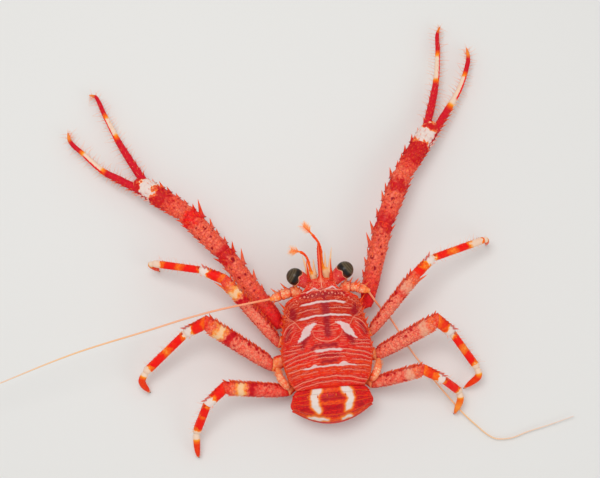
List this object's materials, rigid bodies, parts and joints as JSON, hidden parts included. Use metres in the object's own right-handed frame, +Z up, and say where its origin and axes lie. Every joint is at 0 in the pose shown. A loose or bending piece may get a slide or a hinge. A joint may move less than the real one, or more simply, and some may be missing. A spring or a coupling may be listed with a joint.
{
  "type": "munida squat lobster model",
  "caption": "Still life-size munida squat lobster: ridged spiny carapace, folded tail, long slender claws held forward, striped walking legs and long feelers.",
  "frame": {"origin": "on the midline, on the floor, in the middle of the small flat under the folded tail", "axes": "+Y towards the head, +X to the animal's right, +Z up"},
  "size_m": [0.1561, 0.1077, 0.0163],
  "materials": {
    "shell": "wet satin red shell",
    "belly": "satin pale orange",
    "limb": "satin salmon red with crimson dots and cream bands",
    "foot": "satin orange red",
    "feeler": "satin peach",
    "stalk": "satin crimson",
    "eye": "glossy dark olive"
  },
  "bodies": {
    "root": {"abdomen_1": "shell", "abdomen_2": "shell", "abdomen_3": "shell", "abdomen_4": "shell", "abdomen_5": "shell", "abdomen_6": "shell", "antenna_base_left": "feeler", "antenna_base_right": "feeler", "antenna_flagellum_left": "feeler", "antenna_flagellum_right": "feeler", "antennule_left": "feeler", "antennule_right": "feeler", "carapace": "shell", "carpus_leg_2_left": "limb", "carpus_leg_2_right": "limb", "carpus_leg_3_left": "limb", "carpus_leg_3_right": "limb", "carpus_leg_4_left": "limb", "carpus_leg_4_right": "limb", "cheliped_carpus_left": "limb", "cheliped_carpus_right": "limb", "cheliped_finger_left": "limb", "cheliped_finger_right": "limb", "cheliped_ischium_left": "limb", "cheliped_ischium_right": "limb", "cheliped_merus_left": "limb", "cheliped_merus_right": "limb", "cheliped_palm_left": "limb", "cheliped_palm_right": "limb", "dactyl_leg_2_left": "foot", "dactyl_leg_2_right": "foot", "dactyl_leg_3_left": "foot", "dactyl_leg_3_right": "foot", "dactyl_leg_4_left": "foot", "dactyl_leg_4_right": "foot", "eye_left": "eye", "eye_right": "eye", "eyestalk_left": "stalk", "eyestalk_right": "stalk", "leg_5_left": "feeler", "leg_5_right": "feeler", "maxilliped_left": "belly", "maxilliped_right": "belly", "merus_leg_2_left": "limb", "merus_leg_2_right": "limb", "merus_leg_3_left": "limb", "merus_leg_3_right": "limb", "merus_leg_4_left": "limb", "merus_leg_4_right": "limb", "propodus_leg_2_left": "limb", "propodus_leg_2_right": "limb", "propodus_leg_3_left": "limb", "propodus_leg_3_right": "limb", "propodus_leg_4_left": "limb", "propodus_leg_4_right": "limb", "sternum": "belly", "telson": "shell", "uropod_left": "shell", "uropod_right": "shell"}
  },
  "joints": []
}
